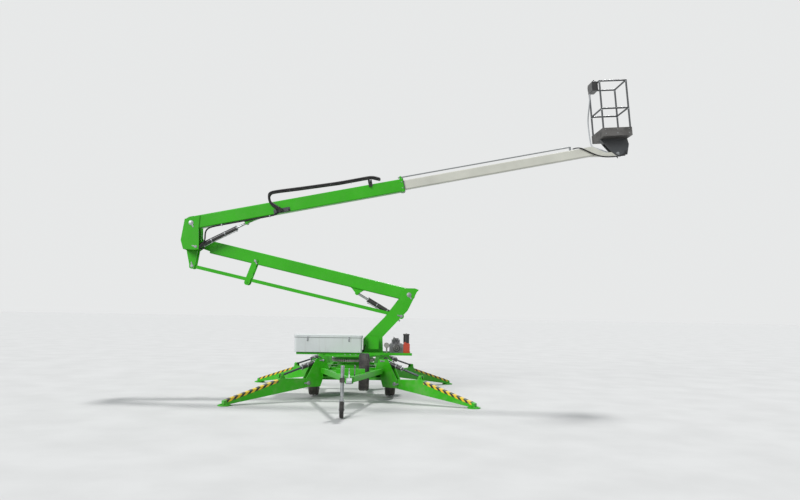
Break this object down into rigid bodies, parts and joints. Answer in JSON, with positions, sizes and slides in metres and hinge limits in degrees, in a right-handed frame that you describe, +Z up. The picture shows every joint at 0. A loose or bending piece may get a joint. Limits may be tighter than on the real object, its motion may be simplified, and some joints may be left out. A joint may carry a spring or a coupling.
{
  "type": "articulating boom lift",
  "caption": "Trailer-mounted articulated boom lift on four outriggers, with a parallelogram lower boom, a telescopic upper boom and a railed basket.",
  "frame": {"origin": "middle of the whole machine's box, on the ground plane", "axes": "+X along the booms towards the basket, -Y towards the drawbar's coupling, +Z up"},
  "size_m": [8.7818, 5.422, 6.2594],
  "materials": {
    "green_paint": "glossy vivid green enamel",
    "cream_paint": "glossy cream enamel",
    "cover_grey": "pale grey gel coat",
    "black_paint": "satin black enamel",
    "dark_steel": "dark grey enamel",
    "grey_link": "mid grey enamel",
    "bare_steel": "bare machined steel",
    "chrome_rod": "hard chrome",
    "zinc_tube": "zinc plated",
    "tyre_rubber": "dull black rubber",
    "hose_rubber": "dull black rubber",
    "wheel_paint": "pale silver enamel",
    "engine_metal": "grey casting",
    "engine_red": "red-orange enamel",
    "floor_metal": "chequered floor plate"
  },
  "bodies": {
    "chassis": {"chassis_frame": "green_paint", "slew_ring": "bare_steel", "axle_beam": "green_paint", "drawbar": "green_paint", "coupling_head": "zinc_tube", "jockey_clamp": "black_paint", "rim_spare": "wheel_paint", "tyre_spare": "tyre_rubber"},
    "wheel_left": {"rim_left": "wheel_paint", "tyre_left": "tyre_rubber"},
    "wheel_right": {"rim_right": "wheel_paint", "tyre_right": "tyre_rubber"},
    "jockey": {"jockey_sleeve": "zinc_tube", "jockey_leg": "chrome_rod"},
    "jockey_caster": {"jockey_fork": "zinc_tube"},
    "jockey_roller": {"jockey_wheel": "hose_rubber"},
    "leg_front_left": {"arm_front_left": "green_paint"},
    "leg_front_left_barrel_body": {"leg_front_left_barrel": "black_paint"},
    "leg_front_left_rod_body": {"leg_front_left_rod": "chrome_rod"},
    "leg_front_right": {"arm_front_right": "green_paint"},
    "leg_front_right_barrel_body": {"leg_front_right_barrel": "black_paint"},
    "leg_front_right_rod_body": {"leg_front_right_rod": "chrome_rod"},
    "leg_rear_left": {"arm_rear_left": "green_paint"},
    "leg_rear_left_barrel_body": {"leg_rear_left_barrel": "black_paint"},
    "leg_rear_left_rod_body": {"leg_rear_left_rod": "chrome_rod"},
    "leg_rear_right": {"arm_rear_right": "green_paint"},
    "leg_rear_right_barrel_body": {"leg_rear_right_barrel": "black_paint"},
    "leg_rear_right_rod_body": {"leg_rear_right_rod": "chrome_rod"},
    "turret": {"turret_deck": "green_paint", "tower": "green_paint", "hydraulic_cover": "cover_grey", "engine": "engine_metal", "fuel_tank": "engine_red", "muffler": "bare_steel", "air_cleaner": "black_paint"},
    "lower_boom_body": {"lower_boom": "green_paint"},
    "tie_bar_body": {"tie_bar": "green_paint"},
    "link_body": {"spacer_link": "green_paint"},
    "lift_barrel_body": {"lift_barrel": "black_paint"},
    "lift_rod_body": {"lift_rod": "chrome_rod"},
    "knuckle_body": {"knuckle": "green_paint"},
    "upper_boom_body": {"upper_boom": "green_paint", "hose_track": "hose_rubber"},
    "luff_barrel_body": {"luff_barrel": "black_paint"},
    "luff_rod_body": {"luff_rod": "chrome_rod"},
    "fly_boom_body": {"fly_boom": "cream_paint", "guide_tube": "grey_link"},
    "basket_body": {"basket_floor": "floor_metal", "basket_cage": "dark_steel", "basket_bracket": "grey_link", "control_box": "black_paint"}
  },
  "joints": [
    {"name": "wheel_left_spin", "type": "hinge", "parent": "chassis", "child": "wheel_left", "pos_m": [-1.74627, 0.181, 0.34], "axis": [1, 0, 0], "continuous": true},
    {"name": "wheel_right_spin", "type": "hinge", "parent": "chassis", "child": "wheel_right", "pos_m": [-0.34627, 0.181, 0.34], "axis": [1, 0, 0], "continuous": true},
    {"name": "jockey_height", "type": "slide", "parent": "chassis", "child": "jockey", "axis": [0, 0, -1], "range_m": [-0.2, 0]},
    {"name": "jockey_swivel", "type": "hinge", "parent": "jockey", "child": "jockey_caster", "pos_m": [-1.14627, -2.494, 0.3], "axis": [0, 0, 1], "continuous": true},
    {"name": "jockey_spin", "type": "hinge", "parent": "jockey_caster", "child": "jockey_roller", "pos_m": [-1.14627, -2.494, 0.128], "axis": [1, 0, 0], "continuous": true},
    {"name": "leg_front_left_fold", "type": "hinge", "parent": "chassis", "child": "leg_front_left", "pos_m": [-1.83627, -0.399, 0.3], "axis": [0.5547, -0.8321, 0], "range_deg": [-55, 0]},
    {"name": "leg_front_left_barrel_swing", "type": "hinge", "parent": "chassis", "child": "leg_front_left_barrel_body", "pos_m": [-1.59913, -0.24091, 0.685], "axis": [0.5547, -0.8321, 0], "range_deg": [-30.9, 1]},
    {"name": "leg_front_left_rod_travel", "type": "slide", "parent": "leg_front_left_barrel_body", "child": "leg_front_left_rod_body", "axis": [-0.796, -0.5307, -0.2913], "range_m": [-0.3449, 0.002]},
    {"name": "leg_front_right_fold", "type": "hinge", "parent": "chassis", "child": "leg_front_right", "pos_m": [-0.25627, -0.399, 0.3], "axis": [0.5547, 0.8321, 0], "range_deg": [-55, 0]},
    {"name": "leg_front_right_barrel_swing", "type": "hinge", "parent": "chassis", "child": "leg_front_right_barrel_body", "pos_m": [-0.4934, -0.24091, 0.685], "axis": [0.5547, 0.8321, 0], "range_deg": [-30.9, 1]},
    {"name": "leg_front_right_rod_travel", "type": "slide", "parent": "leg_front_right_barrel_body", "child": "leg_front_right_rod_body", "axis": [0.796, -0.5307, -0.2913], "range_m": [-0.3449, 0.002]},
    {"name": "leg_rear_left_fold", "type": "hinge", "parent": "chassis", "child": "leg_rear_left", "pos_m": [-1.83627, 1.761, 0.3], "axis": [-0.5547, -0.8321, 0], "range_deg": [-55, 0]},
    {"name": "leg_rear_left_barrel_swing", "type": "hinge", "parent": "chassis", "child": "leg_rear_left_barrel_body", "pos_m": [-1.59913, 1.60291, 0.685], "axis": [-0.5547, -0.8321, 0], "range_deg": [-30.9, 1]},
    {"name": "leg_rear_left_rod_travel", "type": "slide", "parent": "leg_rear_left_barrel_body", "child": "leg_rear_left_rod_body", "axis": [-0.796, 0.5307, -0.2913], "range_m": [-0.3449, 0.002]},
    {"name": "leg_rear_right_fold", "type": "hinge", "parent": "chassis", "child": "leg_rear_right", "pos_m": [-0.25627, 1.761, 0.3], "axis": [-0.5547, 0.8321, 0], "range_deg": [-55, 0]},
    {"name": "leg_rear_right_barrel_swing", "type": "hinge", "parent": "chassis", "child": "leg_rear_right_barrel_body", "pos_m": [-0.4934, 1.60291, 0.685], "axis": [-0.5547, 0.8321, 0], "range_deg": [-30.9, 1]},
    {"name": "leg_rear_right_rod_travel", "type": "slide", "parent": "leg_rear_right_barrel_body", "child": "leg_rear_right_rod_body", "axis": [0.796, 0.5307, -0.2913], "range_m": [-0.3449, 0.002]},
    {"name": "slew", "type": "hinge", "parent": "chassis", "child": "turret", "pos_m": [-1.04627, 0.681, 0.745], "axis": [0, 0, 1], "range_deg": [-90, 265]},
    {"name": "lower_boom_raise", "type": "hinge", "parent": "turret", "child": "lower_boom_body", "pos_m": [0.01673, 0.811, 1.899], "axis": [0, 1, 0], "range_deg": [-19.5, 57.5]},
    {"name": "tie_bar_swing", "type": "hinge", "parent": "turret", "child": "tie_bar_body", "pos_m": [-0.12827, 0.811, 1.479], "axis": [0, 1, 0], "range_deg": [-20.5, 58.5]},
    {"name": "knuckle_level", "type": "hinge", "parent": "lower_boom_body", "child": "knuckle_body", "pos_m": [-4.07395, 0.811, 2.80588], "axis": [0, 1, 0], "range_deg": [-58.5, 20.5]},
    {"name": "link_swing", "type": "hinge", "parent": "lower_boom_body", "child": "link_body", "pos_m": [-3.00325, 0.811, 2.50706], "axis": [0, 1, 0], "range_deg": [-58.5, 20.5]},
    {"name": "lift_barrel_swing", "type": "hinge", "parent": "turret", "child": "lift_barrel_body", "pos_m": [-0.19627, 0.811, 1.453], "axis": [0, 1, 0], "range_deg": [-17.38, 49.3]},
    {"name": "lift_rod_travel", "type": "slide", "parent": "lift_barrel_body", "child": "lift_rod_body", "axis": [-0.8657, 0, 0.5006], "range_m": [-0.158, 0.4619]},
    {"name": "upper_boom_raise", "type": "hinge", "parent": "knuckle_body", "child": "upper_boom_body", "pos_m": [-4.21095, 0.541, 3.19688], "axis": [0, -1, 0], "range_deg": [-19.75, 58.25]},
    {"name": "luff_barrel_swing", "type": "hinge", "parent": "knuckle_body", "child": "luff_barrel_body", "pos_m": [-4.09995, 0.541, 2.73988], "axis": [0, -1, 0], "range_deg": [-16.8, 47.6]},
    {"name": "luff_rod_travel", "type": "slide", "parent": "luff_barrel_body", "child": "luff_rod_body", "axis": [0.8866, 0, 0.4626], "range_m": [-0.1436, 0.4196]},
    {"name": "telescope", "type": "slide", "parent": "upper_boom_body", "child": "fly_boom_body", "axis": [0.979, 0, 0.2036], "range_m": [-3.4, 0]},
    {"name": "basket_level", "type": "hinge", "parent": "fly_boom_body", "child": "basket_body", "pos_m": [4.16409, 0.541, 4.79998], "axis": [0, -1, 0], "range_deg": [-59.25, 20.75]}
  ],
  "couplings": [
    {"joint": "leg_front_left_barrel_swing", "follows": "leg_front_left_fold", "ratio": 0.54359},
    {"joint": "leg_front_left_rod_travel", "follows": "leg_front_left_fold", "m_per_rad": 0.35717},
    {"joint": "leg_front_right_barrel_swing", "follows": "leg_front_right_fold", "ratio": 0.54359},
    {"joint": "leg_front_right_rod_travel", "follows": "leg_front_right_fold", "m_per_rad": 0.35717},
    {"joint": "leg_rear_left_barrel_swing", "follows": "leg_rear_left_fold", "ratio": 0.54359},
    {"joint": "leg_rear_left_rod_travel", "follows": "leg_rear_left_fold", "m_per_rad": 0.35717},
    {"joint": "leg_rear_right_barrel_swing", "follows": "leg_rear_right_fold", "ratio": 0.54359},
    {"joint": "leg_rear_right_rod_travel", "follows": "leg_rear_right_fold", "m_per_rad": 0.35717},
    {"joint": "tie_bar_swing", "follows": "lower_boom_raise", "ratio": 1},
    {"joint": "knuckle_level", "follows": "lower_boom_raise", "ratio": -1},
    {"joint": "link_swing", "follows": "lower_boom_raise", "ratio": -1},
    {"joint": "lift_barrel_swing", "follows": "lower_boom_raise", "ratio": 0.84},
    {"joint": "lift_rod_travel", "follows": "lower_boom_raise", "m_per_rad": 0.45826},
    {"joint": "luff_barrel_swing", "follows": "upper_boom_raise", "ratio": 0.8},
    {"joint": "luff_rod_travel", "follows": "upper_boom_raise", "m_per_rad": 0.41072},
    {"joint": "basket_level", "follows": "upper_boom_raise", "ratio": -1}
  ]
}
